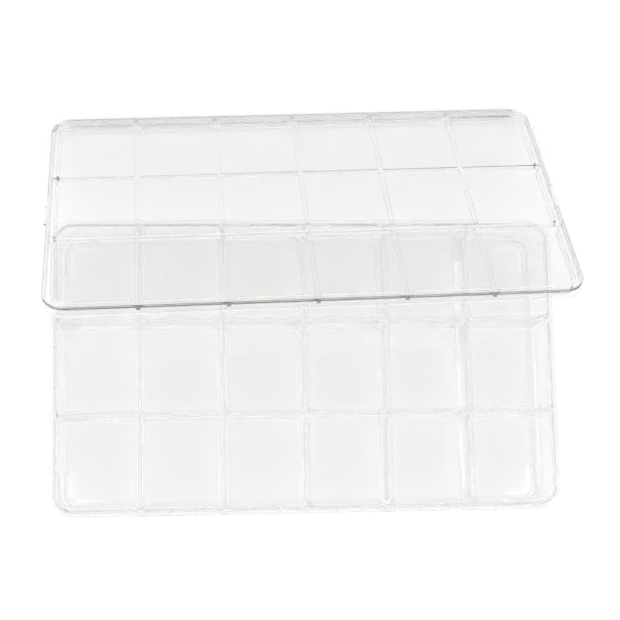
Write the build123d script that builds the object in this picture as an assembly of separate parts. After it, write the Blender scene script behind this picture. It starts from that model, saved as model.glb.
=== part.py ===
"""A clear paint palette box: a moulded tray of 6 x 3 wells and its loose lift-off lid.

Row frame: +Z up, +X along the long side, origin at the centre of the underside of the tray's floor.
The four stacking feet reach FOOT_HEIGHT below the origin, and the table lies there.
The lid is shown taken off: it stands on its back lower edge behind the tray, front edge raised.
"""
from build123d import *
import os

# ---- driving dimensions, in millimetres and degrees ----
WELL_COLUMNS = 6
WELL_ROWS = 3
WELL_LENGTH = 38.4        # clear size of a well along X, at the rim
WELL_WIDTH = 43.8         # clear size of a well along Y, at the rim
WELL_CORNER = 2.0         # upright corner radius of a well
WELL_FLOOR_ROUND = 1.5    # radius between a well's floor and its walls
DIVIDER = 1.6             # wall between two wells, at the rim
WALL = 1.6                # outer wall, at the rim
FLOOR = 1.6
TRAY_HEIGHT = 31.0        # underside of the floor to the rim
TRAY_CORNER = 8.8         # outer corner radius of the tray's wall
RIM_ROUND = 0.45          # rounding of the rim and of the divider tops
BASE_ROUND = 1.0          # rounding under the outer wall
DRAFT = 0.5               # mould draft of every upright wall

FLANGE_REACH = 2.1        # ledge round the outside, just under the closed lid
FLANGE_THICK = 1.2

FOOT_INSET = 5.4          # stacking feet, in from the flange's outline
FOOT_WIDTH = 1.8
FOOT_LEG = 16.6
FOOT_HEIGHT = 1.2

LID_PLATE = 1.5
LID_WALL = 1.2            # thickness of the lid's skirt and of its locating ring
LID_CLEARANCE = 0.3       # between the skirt and the tray's wall
LID_EDGE_ROUND = 0.4
SKIRT_OVERLAP = 2.4       # how far the skirt comes down past the rim
SKIRT_TO_FLANGE = 0.2
RIB_WIDTH = 2.0           # sealing ribs that close down on the dividers
RIB_HEIGHT = 1.2
RING_CLEARANCE = 0.4      # between the locating ring and the tray's wall
RING_OVERLAP = 2.0        # how far the ring comes down past the rim
RING_GAP = 5.0            # break in the ring where a divider passes
BEAD_WIDTH = 2.0          # raised stacking bead round the top of the lid
BEAD_HEIGHT = 0.6
TAB_WIDTH = 14.0          # finger tabs on the two short sides of the lid
TAB_REACH = 1.7
TAB_THICK = 1.2
TAB_CORNER = 1.2

LID_STAND_BACK = 58.3     # from the tray's flange back to the edge that the lid stands on
LID_SHIFT = -2.3          # middle of that edge, along X
LID_TILT = 38.6           # front edge raised
LID_YAW = 1.75            # turned a little on the table

# ---- sizes that follow from them ----
COLUMN_PITCH = WELL_LENGTH + DIVIDER
ROW_PITCH = WELL_WIDTH + DIVIDER
TRAY_LENGTH = WELL_COLUMNS * COLUMN_PITCH - DIVIDER + 2 * WALL
TRAY_WIDTH = WELL_ROWS * ROW_PITCH - DIVIDER + 2 * WALL
WELL_DEPTH = TRAY_HEIGHT - FLOOR
FLANGE_TOP = TRAY_HEIGHT - SKIRT_OVERLAP - SKIRT_TO_FLANGE
SKIRT_DEPTH = RIB_HEIGHT + SKIRT_OVERLAP
RING_DEPTH = RIB_HEIGHT + RING_OVERLAP
LID_REACH = LID_CLEARANCE + LID_WALL
FOOT_REACH = FLANGE_REACH - FOOT_INSET
COLUMNS = [(i - (WELL_COLUMNS - 1) / 2) * COLUMN_PITCH for i in range(WELL_COLUMNS)]
ROWS = [(j - (WELL_ROWS - 1) / 2) * ROW_PITCH for j in range(WELL_ROWS)]
DIVIDERS_X = [x + COLUMN_PITCH / 2 for x in COLUMNS[:-1]]
DIVIDERS_Y = [y + ROW_PITCH / 2 for y in ROWS[:-1]]


def outline(reach):
    """The outline of the tray's wall at the rim, moved outwards by reach, or inwards where it is negative."""
    return RectangleRounded(TRAY_LENGTH + 2 * reach, TRAY_WIDTH + 2 * reach, TRAY_CORNER + reach)


def slab(reach, bottom, height):
    """The outline at reach as a solid of some height."""
    return extrude(Pos(0, 0, bottom) * outline(reach), height)


def band(reach, width, bottom, height):
    """A closed ring that follows the outline, with its outer face at reach."""
    return slab(reach, bottom, height) - slab(reach - width, bottom, height)


def well(x, y):
    """The hollow of one well: drafted, round in its corners and along its floor."""
    mouth = Pos(x, y) * RectangleRounded(WELL_LENGTH, WELL_WIDTH, WELL_CORNER) & outline(-WALL)
    hollow = extrude(Pos(0, 0, TRAY_HEIGHT) * mouth, -WELL_DEPTH, taper=DRAFT)
    floor_edges = hollow.faces().sort_by(Axis.Z)[0].edges()
    return fillet(floor_edges, WELL_FLOOR_ROUND)


def foot(side_x, side_y):
    """One L-shaped stacking foot under a corner of the floor."""
    ring = band(FOOT_REACH, FOOT_WIDTH, -FOOT_HEIGHT, FOOT_HEIGHT)
    corner_x = TRAY_LENGTH / 2 + FOOT_REACH - FOOT_LEG / 2
    corner_y = TRAY_WIDTH / 2 + FOOT_REACH - FOOT_LEG / 2
    return ring & Pos(side_x * corner_x, side_y * corner_y, 0) * Box(FOOT_LEG, FOOT_LEG, 4 * FOOT_HEIGHT)


def well_tray():
    """The tray: outer wall, floor, wells, flange and feet, moulded in one."""
    body = extrude(Pos(0, 0, TRAY_HEIGHT) * outline(0), -TRAY_HEIGHT, taper=DRAFT)
    body = fillet(body.faces().sort_by(Axis.Z)[0].edges(), BASE_ROUND)
    for x in COLUMNS:
        for y in ROWS:
            body -= well(x, y)
    body = fillet(body.faces().sort_by(Axis.Z)[-1].edges(), RIM_ROUND)
    body += band(FLANGE_REACH, FLANGE_REACH + WALL / 2, FLANGE_TOP - FLANGE_THICK, FLANGE_THICK)
    for side_x in (-1, 1):
        for side_y in (-1, 1):
            body += foot(side_x, side_y)
    return body


def finger_tab(side):
    """A thin tongue at the foot of the skirt, in the middle of a short side."""
    overlap = LID_WALL / 2
    length = TAB_REACH + overlap
    middle = side * (TRAY_LENGTH / 2 + LID_REACH - overlap + length / 2)
    tongue = Pos(middle, 0, TAB_THICK / 2 - SKIRT_DEPTH) * Box(length, TAB_WIDTH, TAB_THICK)
    outer_corners = tongue.edges().filter_by(Axis.Z).sort_by(Axis.X)
    outer_corners = outer_corners[2:] if side > 0 else outer_corners[:2]
    return fillet(outer_corners, TAB_CORNER)


def rib(length, width, x, y):
    """One sealing rib under the plate."""
    return Pos(x, y, -RIB_HEIGHT / 2) * Box(length, width, RIB_HEIGHT)


def locating_ring():
    """The ring that drops inside the tray's wall, broken where each divider meets that wall."""
    ring = band(-WALL - RING_CLEARANCE, LID_WALL, -RING_DEPTH, RING_DEPTH)
    for x in DIVIDERS_X:
        ring -= Pos(x, 0, -RING_DEPTH / 2) * Box(RING_GAP, TRAY_WIDTH, 2 * RING_DEPTH)
    for y in DIVIDERS_Y:
        ring -= Pos(0, y, -RING_DEPTH / 2) * Box(TRAY_LENGTH, RING_GAP, 2 * RING_DEPTH)
    return ring


def flat_lid():
    """The lid as it lies closed, its plate's underside at z = 0 and its ribs and skirt below."""
    body = slab(LID_REACH, 0, LID_PLATE + BEAD_HEIGHT)
    body -= slab(LID_REACH - BEAD_WIDTH, LID_PLATE, BEAD_HEIGHT)
    body = fillet(body.faces().sort_by(Axis.Z)[-1].edges(), BEAD_HEIGHT / 2)
    body += band(LID_REACH, LID_WALL, -SKIRT_DEPTH, SKIRT_DEPTH)
    body = fillet(body.faces().sort_by(Axis.Z)[0].edges(), LID_EDGE_ROUND)
    body += locating_ring()
    for x in DIVIDERS_X:
        body += rib(RIB_WIDTH, TRAY_WIDTH + 2 * LID_CLEARANCE, x, 0)
    for y in DIVIDERS_Y:
        body += rib(TRAY_LENGTH + 2 * LID_CLEARANCE, RIB_WIDTH, 0, y)
    for side in (-1, 1):
        body += finger_tab(side)
    return body


def lift_off_lid():
    """The lid taken off, tilted, with its back lower edge standing on the table behind the tray."""
    flat = flat_lid()
    edge = Pos(0, TRAY_WIDTH / 2 + LID_REACH, -SKIRT_DEPTH)
    tilted = Rot(0, 0, LID_YAW) * Rot(-LID_TILT, 0, 0) * edge.inverse() * flat
    stand = TRAY_WIDTH / 2 + FLANGE_REACH + LID_STAND_BACK
    lowest = tilted.bounding_box().min.Z
    return Pos(LID_SHIFT, stand, -FOOT_HEIGHT - lowest) * tilted


os.makedirs("parts", exist_ok=True)
for name, shape in {"well_tray": well_tray(), "lift_off_lid": lift_off_lid()}.items():
    export_step(shape, f"parts/{name}.step")
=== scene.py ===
"""A clear paint palette box: a moulded tray of 6 x 3 wells and its loose lid, on a white table.

All sizes are in metres. The row frame's origin is the centre of the underside of the tray's floor.
"""

import math

import bmesh
import bpy
import numpy as np
from mathutils import Euler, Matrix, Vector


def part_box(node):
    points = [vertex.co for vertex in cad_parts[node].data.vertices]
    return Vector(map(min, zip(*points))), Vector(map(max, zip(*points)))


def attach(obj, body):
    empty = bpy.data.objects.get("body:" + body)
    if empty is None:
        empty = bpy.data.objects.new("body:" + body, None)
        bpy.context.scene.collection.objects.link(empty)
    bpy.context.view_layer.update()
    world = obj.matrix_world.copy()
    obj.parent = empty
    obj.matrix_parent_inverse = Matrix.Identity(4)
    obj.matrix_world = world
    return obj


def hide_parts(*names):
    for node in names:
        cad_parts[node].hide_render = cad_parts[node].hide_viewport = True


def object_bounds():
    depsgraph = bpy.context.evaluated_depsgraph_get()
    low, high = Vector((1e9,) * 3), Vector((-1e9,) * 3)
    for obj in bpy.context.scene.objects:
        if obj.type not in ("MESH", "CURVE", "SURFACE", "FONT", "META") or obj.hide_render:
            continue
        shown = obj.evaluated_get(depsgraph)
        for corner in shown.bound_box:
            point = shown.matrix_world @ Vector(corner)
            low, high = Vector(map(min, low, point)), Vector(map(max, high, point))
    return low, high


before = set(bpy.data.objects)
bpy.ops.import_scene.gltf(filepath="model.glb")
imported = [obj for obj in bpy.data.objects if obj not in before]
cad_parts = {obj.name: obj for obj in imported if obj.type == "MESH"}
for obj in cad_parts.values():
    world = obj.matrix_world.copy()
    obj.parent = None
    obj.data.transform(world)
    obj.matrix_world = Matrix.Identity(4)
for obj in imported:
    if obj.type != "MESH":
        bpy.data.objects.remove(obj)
cad_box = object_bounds()


# ---- clear polystyrene ----
# Both mouldings are crystal-clear polystyrene from polished steel moulds. The surface carries faint flow
# ripples, fine draw marks along the walls and a haze of rubbed dust where fingers and a brush have been.
# Light that travels far inside a wall comes out darker and a little brown.
PLASTIC_TINT = (0.95, 0.95, 0.948, 1.0)
PLASTIC_IOR = 1.59
EDGE_COLOUR = (0.12, 0.05, 0.0, 1.0)


def add_socket(tree, name, direction, kind, value=None):
    """One named input or output of a node group, with its starting value."""
    socket = tree.interface.new_socket(name=name, in_out=direction, socket_type=kind)
    if value is not None:
        socket.default_value = value


def scaled_noise(tree, place, stretch, scale, detail):
    """Noise at some scale along stretched object axes."""
    mapping = tree.nodes.new("ShaderNodeMapping")
    mapping.inputs["Scale"].default_value = stretch
    noise = tree.nodes.new("ShaderNodeTexNoise")
    noise.inputs["Scale"].default_value = scale
    noise.inputs["Detail"].default_value = detail
    tree.links.new(place, mapping.inputs["Vector"])
    tree.links.new(mapping.outputs["Vector"], noise.inputs["Vector"])
    return noise.outputs["Fac"]


def spread(tree, value, low, high, to_low, to_high):
    """A value from low to high, carried to the range to_low to to_high and held there."""
    ramp = tree.nodes.new("ShaderNodeMapRange")
    ramp.inputs["From Min"].default_value = low
    ramp.inputs["From Max"].default_value = high
    for name, bound in (("To Min", to_low), ("To Max", to_high)):
        if isinstance(bound, bpy.types.NodeSocket):
            tree.links.new(bound, ramp.inputs[name])
        else:
            ramp.inputs[name].default_value = bound
    tree.links.new(value, ramp.inputs["Value"])
    return ramp.outputs["Result"]


def moulded_surface():
    """The shared node group: flow ripples and draw marks as a height, and rubbed haze as a roughness."""
    tree = bpy.data.node_groups.new("moulded_surface", "ShaderNodeTree")
    add_socket(tree, "Polish Roughness", "INPUT", "NodeSocketFloat", 0.01)
    add_socket(tree, "Haze Roughness", "INPUT", "NodeSocketFloat", 0.06)
    add_socket(tree, "Roughness", "OUTPUT", "NodeSocketFloat")
    add_socket(tree, "Height", "OUTPUT", "NodeSocketFloat")
    given = tree.nodes.new("NodeGroupInput")
    result = tree.nodes.new("NodeGroupOutput")
    place = tree.nodes.new("ShaderNodeTexCoord").outputs["Object"]
    haze = scaled_noise(tree, place, (1, 1, 1), 45, 5)
    rough = spread(tree, haze, 0.5, 0.8, given.outputs["Polish Roughness"], given.outputs["Haze Roughness"])
    tree.links.new(rough, result.inputs["Roughness"])
    ripples = scaled_noise(tree, place, (1, 0.6, 1), 22, 1)
    marks = scaled_noise(tree, place, (1, 1, 0.06), 900, 2)
    total = tree.nodes.new("ShaderNodeMath")
    total.operation = "MULTIPLY_ADD"
    total.inputs[1].default_value = 0.02
    tree.links.new(marks, total.inputs[0])
    tree.links.new(ripples, total.inputs[2])
    tree.links.new(total.outputs["Value"], result.inputs["Height"])
    return tree


SURFACE = moulded_surface()


def clear_plastic(name, ripple_depth, absorption):
    """Clear moulded polystyrene: full transmission, with the moulded surface in its roughness and bump.
    Absorption is the rate per metre at which light weakens inside a wall, so that long ways look darker."""
    material = bpy.data.materials.new(name)
    material.use_nodes = True
    tree = material.node_tree
    shader = tree.nodes["Principled BSDF"]
    shader.inputs["Base Color"].default_value = PLASTIC_TINT
    shader.inputs["IOR"].default_value = PLASTIC_IOR
    shader.inputs["Transmission Weight"].default_value = 1.0
    surface = tree.nodes.new("ShaderNodeGroup")
    surface.node_tree = SURFACE
    bump = tree.nodes.new("ShaderNodeBump")
    bump.inputs["Distance"].default_value = ripple_depth
    bump.inputs["Strength"].default_value = 1.0
    tree.links.new(surface.outputs["Height"], bump.inputs["Height"])
    tree.links.new(surface.outputs["Roughness"], shader.inputs["Roughness"])
    tree.links.new(bump.outputs["Normal"], shader.inputs["Normal"])
    inside = tree.nodes.new("ShaderNodeVolumeAbsorption")
    inside.inputs["Color"].default_value = EDGE_COLOUR
    inside.inputs["Density"].default_value = absorption
    tree.links.new(inside.outputs["Volume"], tree.nodes["Material Output"].inputs["Volume"])
    return material


# ---- well tray ----
# The tray is one moulding: 6 x 3 square wells with drafted walls and round inner corners, a ledge outside
# for the closed lid to come down to, and four L-shaped feet under the floor that locate a stacked box.
COLUMNS = 6
ROWS = 3
DIVIDER = 0.0016
WALL = 0.0016
FLOOR = 0.0016
WELL_CORNER = 0.0020
FLOOR_ROUND = 0.0015
TRAY_CORNER = 0.0088
RIM_ROUND = 0.00045
BASE_ROUND = 0.0010
LEDGE_REACH = 0.0021
LEDGE_THICK = 0.0012
LEDGE_DROP = 0.0026
LEDGE_ROUND = 0.0003
FOOT_OUTER = -0.0033
FOOT_WIDTH = 0.0018
FOOT_LEG = 0.0166
FOOT_ROUND = 0.0003
DRAFT = math.tan(math.radians(0.5))
PAST_ROUND = 1.001
CORNER_STEPS = 10
TRAY_RIPPLE = 0.000002
TRAY_ABSORPTION = 0.8
tray_low, tray_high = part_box("well_tray")
TRAY_LENGTH = tray_high.x - tray_low.x - 2 * LEDGE_REACH
TRAY_WIDTH = tray_high.y - tray_low.y - 2 * LEDGE_REACH
RIM = tray_high.z
FOOT_HEIGHT = -tray_low.z
COLUMN_PITCH = (TRAY_LENGTH - 2 * WALL + DIVIDER) / COLUMNS
ROW_PITCH = (TRAY_WIDTH - 2 * WALL + DIVIDER) / ROWS


def outline(left, right, front, back, radii, x_shares, y_shares):
    """Points round a rectangle, anticlockwise from its front left corner. Each corner is its centre plus
    radius times (cos, sin) over a quarter turn, and each side is cut at its shares of the straight run."""
    quarter = np.linspace(0, math.pi / 2, CORNER_STEPS + 1)
    corners = ((left, front, 1, 1), (right, front, -1, 1), (right, back, -1, -1), (left, back, 1, -1))
    arcs = []
    for turn, ((x, y, inward_x, inward_y), radius) in enumerate(zip(corners, radii)):
        angle = math.pi + turn * math.pi / 2 + quarter
        centre = np.array([x + inward_x * radius, y + inward_y * radius])
        arcs.append(centre + radius * np.column_stack([np.cos(angle), np.sin(angle)]))
    loop = []
    for turn, arc in enumerate(arcs):
        shares = x_shares if turn % 2 == 0 else y_shares
        loop += [arc, arc[-1] + shares[:, None] * (arcs[(turn + 1) % 4][0] - arc[-1])]
    return np.concatenate(loop)


def rounded_profile(stops, steps=5):
    """A profile through (reach, height, radius) stops, each corner replaced by its arc: the arc swings the
    radius evenly from one tangent point to the other about the centre on the corner's bisector."""
    stops = np.array(stops, float)
    points = [stops[:1, :2]]
    share = np.linspace(0, 1, steps + 1)[:, None]
    for before, corner, after in zip(stops[:-2], stops[1:-1], stops[2:]):
        if corner[2] == 0:
            points.append(corner[None, :2])
            continue
        back = (before - corner)[:2] / np.linalg.norm((before - corner)[:2])
        onward = (after - corner)[:2] / np.linalg.norm((after - corner)[:2])
        half = math.acos(back @ onward) / 2
        bisector = (back + onward) / np.linalg.norm(back + onward)
        centre = corner[:2] + bisector * corner[2] / math.sin(half)
        start = corner[:2] + back * corner[2] / math.tan(half) - centre
        end = corner[:2] + onward * corner[2] / math.tan(half) - centre
        swing = math.pi - 2 * half
        arc = (np.sin((1 - share) * swing) * start + np.sin(share * swing) * end) / math.sin(swing)
        points.append(centre + arc)
    points.append(stops[-1:, :2])
    return np.concatenate(points)


# Faces with less area than this are folded flat, and points closer than this are one point.
FLAT_AREA = 1e-10
SAME_POINT = 2e-6


class Surface:
    """Grids of points gathered into one mesh, joined where their borders meet."""

    def __init__(self):
        self.points = []
        self.faces = []
        self.count = 0

    def add(self, grid, closed):
        """A grid of points, rows by columns. Where it is closed, the last column joins the first."""
        rows, columns = grid.shape[:2]
        index = self.count + np.arange(rows * columns).reshape(rows, columns)
        if closed:
            index = np.column_stack([index, index[:, 0]])
        quads = np.stack([index[:-1, :-1], index[1:, :-1], index[1:, 1:], index[:-1, 1:]], -1)
        self.points.append(grid.reshape(-1, 3))
        self.faces.append(quads.reshape(-1, 4))
        self.count += rows * columns

    def made(self, name, placed=None):
        """The mesh object: doubles merged, flat faces dropped, every face pointing outwards."""
        points = np.concatenate(self.points)
        if placed is not None:
            points = placed(points)
        mesh = bpy.data.meshes.new(name)
        mesh.from_pydata(points.tolist(), [], np.concatenate(self.faces).tolist())
        shape = bmesh.new()
        shape.from_mesh(mesh)
        bmesh.ops.remove_doubles(shape, verts=shape.verts, dist=SAME_POINT)
        flat = [face for face in shape.faces if face.calc_area() < FLAT_AREA]
        bmesh.ops.delete(shape, geom=flat, context="FACES_ONLY")
        loose = [edge for edge in shape.edges if not edge.link_faces]
        bmesh.ops.delete(shape, geom=loose, context="EDGES")
        bmesh.ops.recalc_face_normals(shape, faces=shape.faces)
        for face in shape.faces:
            face.smooth = True
        shape.to_mesh(mesh)
        shape.free()
        piece = bpy.data.objects.new(name, mesh)
        bpy.context.scene.collection.objects.link(piece)
        return piece


def at_height(loop, height):
    """A loop of plan points at a height, or at one height for each point."""
    return np.column_stack([loop, np.broadcast_to(height, len(loop))])


def flat_grid(xs, ys, heights):
    """A grid over every pair of an x and a y, at its height."""
    x, y = np.meshgrid(xs, ys)
    return np.stack([x, y, np.broadcast_to(heights, x.shape)], -1)


def along_side(stops, shares):
    """Places along a side: the shares of each run between two stops, and the stops between the runs."""
    runs = stops[:-1, None] + np.diff(stops)[:, None] * shares
    return np.column_stack([runs, stops[1:]]).ravel()[:-1]


def foot_end(run):
    """Where the sides of a corner well are cut for the round end of a foot, as shares of that run. The end
    is a half circle: its half width is sin(angle) at radius * (1 - cos(angle)) from the tip."""
    radius = FOOT_WIDTH / 2
    tip = FOOT_LEG + -FOOT_OUTER - TRAY_CORNER
    angle = np.radians([90, 60, 40, 20, 0])
    places = (tip - radius * (1 - np.cos(angle))) / run
    near = np.append(places, places[-1])
    widths = np.append(np.sin(angle), 0.0)
    heights = np.append(np.ones(len(angle)), 0.0)
    return near, widths, heights


def side_shares(run):
    """The cuts along one run, the same from either end."""
    near = foot_end(run)[0]
    return np.concatenate([near, [0.5], 1 - near[::-1]])


def foot_states(runs, run):
    """The width and height shares of the foot at each place along a side that has a foot at both ends."""
    near, widths, heights = foot_end(run)
    blank = np.zeros((runs, 2 * len(near) + 2))
    result = []
    for values in (widths, heights):
        state = blank.copy()
        state[0, :len(near)] = values
        state[-1, len(near) + 1:-1] = values[::-1]
        result.append(state.ravel()[:-1])
    return result


tray_stops_x = np.concatenate([[TRAY_CORNER - TRAY_LENGTH / 2],
                               (np.arange(1, COLUMNS) - COLUMNS / 2) * COLUMN_PITCH,
                               [TRAY_LENGTH / 2 - TRAY_CORNER]])
tray_stops_y = np.concatenate([[TRAY_CORNER - TRAY_WIDTH / 2],
                               (np.arange(1, ROWS) - ROWS / 2) * ROW_PITCH,
                               [TRAY_WIDTH / 2 - TRAY_CORNER]])
corner_run_x = tray_stops_x[1] - tray_stops_x[0]
corner_run_y = tray_stops_y[1] - tray_stops_y[0]
well_shares_x = side_shares(corner_run_x)
well_shares_y = side_shares(corner_run_y)


def well_profile():
    """The inside of a well from the flat rim down to the floor, as reach from the mouth and height."""
    depth = RIM - FLOOR
    return rounded_profile([
        (RIM_ROUND * PAST_ROUND, RIM, 0),
        (0, RIM, RIM_ROUND),
        (-DRAFT * depth, FLOOR, FLOOR_ROUND),
        (-WELL_CORNER, FLOOR, 0),
    ])


def add_well(surface, column, row):
    """One well: its share of the flat rim, then the profile carried round the mouth, then its floor."""
    x = (column - (COLUMNS - 1) / 2) * COLUMN_PITCH
    y = (row - (ROWS - 1) / 2) * ROW_PITCH
    outer = [column == 0, column == COLUMNS - 1, row == 0, row == ROWS - 1]
    rim_edge = WALL - RIM_ROUND - DIVIDER / 2
    sides = np.array([x - COLUMN_PITCH / 2, x + COLUMN_PITCH / 2, y - ROW_PITCH / 2, y + ROW_PITCH / 2])
    outwards = np.array([-1, 1, -1, 1])
    border = sides + outwards * np.where(outer, rim_edge, 0)
    mouth = sides - outwards * DIVIDER / 2
    at_corner = [outer[0] and outer[2], outer[1] and outer[2], outer[1] and outer[3], outer[0] and outer[3]]
    border_radii = np.where(at_corner, TRAY_CORNER - RIM_ROUND, 0)
    mouth_radii = np.where(at_corner, TRAY_CORNER - WALL, WELL_CORNER)
    cuts = (well_shares_x, well_shares_y)
    base = outline(*mouth, mouth_radii, *cuts)
    normal = outline(*(mouth + outwards), mouth_radii + 1, *cuts) - base
    inset = TRAY_CORNER - WALL
    floor = mouth - outwards * inset
    rows = [at_height(outline(*border, border_radii, *cuts), RIM)]
    rows += [at_height(base + reach * normal, height) for reach, height in well_profile()]
    rows += [at_height(outline(*floor, np.zeros(4), *cuts), FLOOR)]
    surface.add(np.stack(rows), closed=True)
    xs = floor[0] + (floor[1] - floor[0]) * np.concatenate([[0], well_shares_x, [1]])
    ys = floor[2] + (floor[3] - floor[2]) * np.concatenate([[0], well_shares_y, [1]])
    surface.add(flat_grid(xs, ys, FLOOR), closed=False)


def add_tray_outside(surface):
    """The outside: rim, wall, ledge and base round as one profile carried round the tray, the feet raised
    from the same loops, and the flat underside inside them."""
    xs = along_side(tray_stops_x, well_shares_x)
    ys = along_side(tray_stops_y, well_shares_y)
    cuts = [(places - stops[0]) / (stops[-1] - stops[0])
            for places, stops in ((xs, tray_stops_x), (ys, tray_stops_y))]
    half_x, half_y = TRAY_LENGTH / 2, TRAY_WIDTH / 2
    radii = np.full(4, TRAY_CORNER)
    base = outline(-half_x, half_x, -half_y, half_y, radii, *cuts)
    normal = outline(-half_x - 1, half_x + 1, -half_y - 1, half_y + 1, radii + 1, *cuts) - base
    ledge_top = RIM - LEDGE_DROP
    ledge_foot = ledge_top - LEDGE_THICK
    profile = rounded_profile([
        (-RIM_ROUND * PAST_ROUND, RIM, 0),
        (0, RIM, RIM_ROUND),
        (-DRAFT * LEDGE_DROP, ledge_top, LEDGE_ROUND),
        (LEDGE_REACH, ledge_top, LEDGE_ROUND),
        (LEDGE_REACH, ledge_foot, LEDGE_ROUND),
        (-DRAFT * (RIM - ledge_foot), ledge_foot, LEDGE_ROUND),
        (-DRAFT * RIM, 0, BASE_ROUND),
        (FOOT_OUTER * 0.8, 0, 0),
    ])
    rows = [at_height(base + reach * normal, height) for reach, height in profile]
    width_x, height_x = foot_states(COLUMNS, corner_run_x)
    width_y, height_y = foot_states(ROWS, corner_run_y)
    whole = np.ones(CORNER_STEPS + 1)
    widths = np.concatenate([whole, width_x, whole, width_y, whole, width_x, whole, width_y])
    heights = np.concatenate([whole, height_x, whole, height_y, whole, height_x, whole, height_y])
    foot = rounded_profile([
        (FOOT_WIDTH / 2, 0, 0),
        (FOOT_WIDTH / 2, -FOOT_HEIGHT, FOOT_ROUND),
        (-FOOT_WIDTH / 2, -FOOT_HEIGHT, FOOT_ROUND),
        (-FOOT_WIDTH / 2, 0, 0),
    ], steps=3)
    middle = FOOT_OUTER - FOOT_WIDTH / 2
    for reach, height in foot:
        rows.append(at_height(base + (middle + reach * widths)[:, None] * normal, height * heights))
    rows.append(at_height(base - TRAY_CORNER * normal, 0))
    surface.add(np.stack(rows), closed=True)
    grid_x = np.concatenate([tray_stops_x[:1], xs, tray_stops_x[-1:]])
    grid_y = np.concatenate([tray_stops_y[:1], ys, tray_stops_y[-1:]])
    surface.add(flat_grid(grid_x, grid_y, 0), closed=False)


tray_surface = Surface()
for column in range(COLUMNS):
    for row in range(ROWS):
        add_well(tray_surface, column, row)
add_tray_outside(tray_surface)
tray = tray_surface.made("palette_tray")
tray.data.materials.append(clear_plastic("clear_tray_polystyrene", TRAY_RIPPLE, TRAY_ABSORPTION))
even_normals = tray.modifiers.new("even_normals", "WEIGHTED_NORMAL")
even_normals.weight = 100
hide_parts("well_tray")
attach(tray, "tray")


# ---- lift-off lid ----
# The lid is the second moulding: a flat plate with a raised stacking bead round its top, a short skirt that
# goes over the rim, ribs that close down on the dividers, a locating ring inside the skirt that is broken
# where each rib passes, and a finger tab on each short side. It is shown taken off, its front edge raised.
# Its absorption is set higher than the tray's, though the plastic is the same, to draw its edges darker.
PLATE = 0.0015
LID_REACH = 0.0015
SKIRT_INNER = 0.0003
SKIRT_DEPTH = 0.0036
RIB_HALF = 0.0010
RIB_HEIGHT = 0.0012
RING_OUTER = -0.0020
RING_INNER = -0.0032
RING_DEPTH = 0.0032
RING_BREAK_HALF = 0.0025
BEAD_WIDTH = 0.0020
BEAD_HEIGHT = 0.0006
BEAD_ROUND = 0.0003
TAB_HALF = 0.0070
TAB_REACH = 0.0017
TAB_THICK = 0.0012
TAB_CORNER = 0.0012
SKIRT_ROUND = 0.0004
SMALL_EDGE = 0.00015
LID_RIPPLE = 0.0000015
LID_ABSORPTION = 10.0
LID_TILT = math.radians(38.6)
LID_YAW = math.radians(1.75)


def crossing_places(centres):
    """The cuts where ribs cross a side: both ends of the ring's break and both flanks of the rib, each cut
    doubled so that a wall can stand there. With them, where a rib is and where the ring is whole."""
    offsets = np.array([-RING_BREAK_HALF, -RING_BREAK_HALF, -RIB_HALF, -RIB_HALF,
                        RIB_HALF, RIB_HALF, RING_BREAK_HALF, RING_BREAK_HALF])
    rib = np.array([0, 0, 0, 1, 1, 0, 0, 0])
    ring = np.array([1, 0, 0, 0, 0, 0, 0, 1])
    places = (centres[:, None] + offsets).ravel()
    return places, np.tile(rib, len(centres)), np.tile(ring, len(centres))


def tab_places():
    """The cuts across a finger tab and how far it stands out at each, as a share of its reach. Its corners
    are quarter circles: the reach lost is radius * (1 - sin(angle)) at radius * (1 - cos(angle)) from its
    end."""
    angle = np.radians([0, 20, 45, 70, 90])
    lost = TAB_CORNER * (1 - np.sin(angle))
    inwards = TAB_CORNER * (1 - np.cos(angle))
    places = np.concatenate([[-TAB_HALF], inwards - TAB_HALF])
    reach = np.concatenate([[0], 1 - lost / TAB_REACH])
    return np.concatenate([places, -places[::-1]]), np.concatenate([reach, reach[::-1]])


def lid_sides():
    """The cuts along the long side and the short side, each with its rib, ring and tab states."""
    x, rib_x, ring_x = crossing_places(tray_stops_x[1:-1])
    y, rib_y, ring_y = crossing_places(tray_stops_y[1:-1])
    tab_y, tab = tab_places()
    half = len(y) // 2
    y = np.concatenate([y[:half], tab_y, y[half:]])
    rib_y = np.concatenate([rib_y[:half], 0 * tab, rib_y[half:]])
    ring_y = np.concatenate([ring_y[:half], 0 * tab + 1, ring_y[half:]])
    tab = np.concatenate([np.zeros(half), tab, np.zeros(half)])
    return (x, rib_x, ring_x, 0 * rib_x), (y, rib_y, ring_y, tab)


def round_the_lid(side_x, side_y, state, at_corners):
    """One state at every point of the lid's loop: its corners, then each side, in the loop's order."""
    corner = np.full(CORNER_STEPS + 1, float(at_corners))
    front, left = side_x[state], side_y[state]
    return np.concatenate([corner, front, corner, left, corner, front[::-1], corner, left[::-1]])


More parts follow.
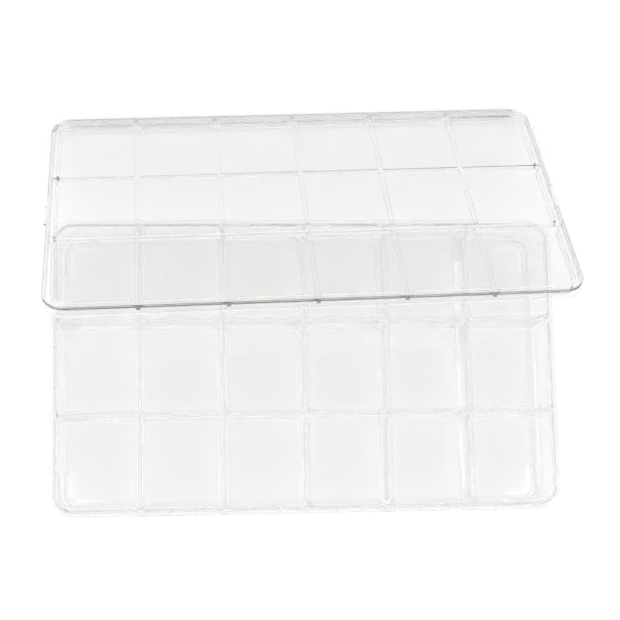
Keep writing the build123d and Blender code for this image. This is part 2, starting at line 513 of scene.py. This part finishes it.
def add_lid(surface):
    """The closed lid: one loop carried from the middle of the plate's top, over the bead, down the skirt and
    its tabs, up inside it, round the locating ring, to the ribbed underside. The plate's underside is at
    height 0."""
    side_x, side_y = lid_sides()
    cuts = [(side[0] - stops[0]) / (stops[-1] - stops[0])
            for side, stops in ((side_x, tray_stops_x), (side_y, tray_stops_y))]
    half_x, half_y = TRAY_LENGTH / 2, TRAY_WIDTH / 2
    radii = np.full(4, TRAY_CORNER)
    base = outline(-half_x, half_x, -half_y, half_y, radii, *cuts)
    normal = outline(-half_x - 1, half_x + 1, -half_y - 1, half_y + 1, radii + 1, *cuts) - base
    rib = round_the_lid(side_x, side_y, 1, 0)
    ring = round_the_lid(side_x, side_y, 2, 1)
    tab = round_the_lid(side_x, side_y, 3, 0)
    under = -RIB_HEIGHT * rib
    ring_foot = np.where(ring > 0, -RING_DEPTH, under)
    top = PLATE + BEAD_HEIGHT
    tab_top = TAB_THICK - SKIRT_DEPTH
    tab_edge = LID_REACH + TAB_REACH * tab
    rows = list(rounded_profile([
        (-TRAY_CORNER, PLATE, 0),
        (LID_REACH - BEAD_WIDTH, PLATE, SMALL_EDGE),
        (LID_REACH - BEAD_WIDTH, top, BEAD_ROUND),
        (LID_REACH, top, BEAD_ROUND),
        (LID_REACH, tab_top, 0),
    ], steps=4))
    rows += [(tab_edge, tab_top)]
    skirt_foot = rounded_profile([
        (LID_REACH, 0, 0),
        (LID_REACH, -SKIRT_DEPTH, SKIRT_ROUND),
        (SKIRT_INNER, -SKIRT_DEPTH, SKIRT_ROUND),
        (SKIRT_INNER, -RIB_HEIGHT, 0),
    ], steps=4)[1:]
    for step, (reach, height) in enumerate(skirt_foot):
        share = min(step / 4, 1)
        under_tab = tab_edge + share * (LID_REACH - SKIRT_ROUND - tab_edge)
        outer_half = (tab > 0) & (step <= 4)
        rows.append((np.where(outer_half, under_tab, reach), np.where(outer_half, -SKIRT_DEPTH, height)))
    rows += [
        (SKIRT_INNER, under),
        (RING_OUTER, under),
        (RING_OUTER, ring_foot),
        (RING_INNER, ring_foot),
        (RING_INNER, under),
        (-TRAY_CORNER, under),
    ]
    loops = [at_height(base + np.reshape(reach, (-1, 1)) * normal, height) for reach, height in rows]
    surface.add(np.stack(loops), closed=True)
    grid_x = np.concatenate([tray_stops_x[:1], side_x[0], tray_stops_x[-1:]])
    grid_y = np.concatenate([tray_stops_y[:1], side_y[0], tray_stops_y[-1:]])
    across_x = np.concatenate([[0], side_x[1], [0]])
    across_y = np.concatenate([[0], side_y[1], [0]])
    on_rib = np.maximum(across_x, across_y[:, None])
    surface.add(flat_grid(grid_x, grid_y, PLATE), closed=False)
    surface.add(flat_grid(grid_x, grid_y, -RIB_HEIGHT * on_rib), closed=False)


def taken_off(points):
    """The closed lid's points tilted about X, turned about Z and moved to the middle of the lid's own box."""
    turned = points @ np.array(Euler((-LID_TILT, 0, LID_YAW)).to_matrix()).T
    low, high = (np.array(corner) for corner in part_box("lift_off_lid"))
    return turned + (low + high - turned.min(0) - turned.max(0)) / 2


lid_surface = Surface()
add_lid(lid_surface)
lid = lid_surface.made("palette_lid", taken_off)
lid.data.materials.append(clear_plastic("clear_lid_polystyrene", LID_RIPPLE, LID_ABSORPTION))
soft_edges = lid.modifiers.new("soft_edges", "BEVEL")
soft_edges.width = SMALL_EDGE
soft_edges.segments = 2
soft_edges.angle_limit = math.radians(50)
lid_normals = lid.modifiers.new("even_normals", "WEIGHTED_NORMAL")
lid_normals.weight = 100
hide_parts("lift_off_lid")
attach(lid, "lid")


# ---- table ----
# A plain pale table top. It lies a hair below the feet, so that light still reaches it under the plastic.
# Its paint is matt, with a faint unevenness in shade.
TABLE_SIZE = 3.0
TABLE_GAP = 0.0001
TABLE_SHADE = 0.90


def table_paint():
    """Matt white paint whose shade and roughness wander a little."""
    material = bpy.data.materials.new("table_paint")
    material.use_nodes = True
    tree = material.node_tree
    shader = tree.nodes["Principled BSDF"]
    shader.inputs["Specular IOR Level"].default_value = 0.0
    place = tree.nodes.new("ShaderNodeTexCoord").outputs["Object"]
    mottle = scaled_noise(tree, place, (1, 1, 1), 60, 3)
    shade = spread(tree, mottle, 0.3, 0.7, TABLE_SHADE - 0.004, TABLE_SHADE + 0.004)
    tree.links.new(shade, shader.inputs["Base Color"])
    tree.links.new(spread(tree, mottle, 0.3, 0.7, 0.85, 0.95), shader.inputs["Roughness"])
    return material


def add_table():
    """One large square, facing up."""
    reach = TABLE_SIZE / 2
    height = cad_box[0].z - TABLE_GAP
    corners = [(x * reach, y * reach, height) for x, y in ((-1, -1), (1, -1), (1, 1), (-1, 1))]
    mesh = bpy.data.meshes.new("table")
    mesh.from_pydata(corners, [], [(0, 1, 2, 3)])
    mesh.materials.append(table_paint())
    table = bpy.data.objects.new("table", mesh)
    bpy.context.scene.collection.objects.link(table)


add_table()


# ---- studio light ----
# A light tent over the table: bright above, dimmer straight overhead where the camera looks in, and dark in
# a band above the horizon in front and on the right, which draws the thin dark lines along clear edges.
# White paper hangs behind the box and on its left, so the tent is bright down to the table there.
# Each pair is a height on the tent, as the sine of the angle above the table, and the light there.
TENT = ((0.0, 1.05), (0.02, 1.05), (0.04, 0.05), (0.52, 0.05), (0.7, 1.95), (0.88, 2.15), (0.96, 0.7),
        (1.0, 0.5))
PAPER_LIGHT = 1.1


def add_tent():
    """Light by height above the table, and never less than the paper's towards the back and the left."""
    world = bpy.data.worlds.new("light_tent")
    world.use_nodes = True
    tree = world.node_tree
    direction = tree.nodes.new("ShaderNodeTexCoord").outputs["Generated"]
    parts = tree.nodes.new("ShaderNodeSeparateXYZ")
    tree.links.new(direction, parts.inputs["Vector"])
    ramp = tree.nodes.new("ShaderNodeValToRGB")
    brightest = max(light for height, light in TENT)
    stops = ramp.color_ramp.elements
    for height, light in TENT[1:-1]:
        stops.new(height)
    for stop, (height, light) in zip(stops, TENT):
        stop.color = (light / brightest, light / brightest, light / brightest, 1.0)
    tree.links.new(parts.outputs["Z"], ramp.inputs["Fac"])
    towards_paper = tree.nodes.new("ShaderNodeMath")
    towards_paper.operation = "SUBTRACT"
    tree.links.new(parts.outputs["Y"], towards_paper.inputs[0])
    tree.links.new(parts.outputs["X"], towards_paper.inputs[1])
    paper = spread(tree, towards_paper.outputs["Value"], 0.3, 0.8, 0.0, PAPER_LIGHT / brightest)
    brighter = tree.nodes.new("ShaderNodeMath")
    brighter.operation = "MAXIMUM"
    tree.links.new(ramp.outputs["Color"], brighter.inputs[0])
    tree.links.new(paper, brighter.inputs[1])
    background = tree.nodes["Background"]
    tree.links.new(brighter.outputs["Value"], background.inputs["Color"])
    background.inputs["Strength"].default_value = brightest
    bpy.context.scene.world = world


add_tent()

# Light needs many turns inside clear walls before it comes out again.
cycles = bpy.context.scene.cycles
cycles.blur_glossy = 0.0
cycles.max_bounces = 128
cycles.transmission_bounces = 128
cycles.glossy_bounces = 96
cycles.diffuse_bounces = 6


# ---- camera ----
# Almost straight above, leaning a little to the left front.
SENSOR_WIDTH = 36.0
LENS = 82.32
CAMERA_PLACE = (-0.05966, -0.07322, 0.70948)
CAMERA_TURN = (0.1473, -0.0880, -0.0197)
camera_data = bpy.data.cameras.new("camera")
camera_data.sensor_width = SENSOR_WIDTH
camera_data.lens = LENS
camera = bpy.data.objects.new("camera", camera_data)
camera.location = CAMERA_PLACE
camera.rotation_euler = CAMERA_TURN
bpy.context.scene.collection.objects.link(camera)
bpy.context.scene.camera = camera
bpy.context.scene.view_settings.view_transform = "Standard"
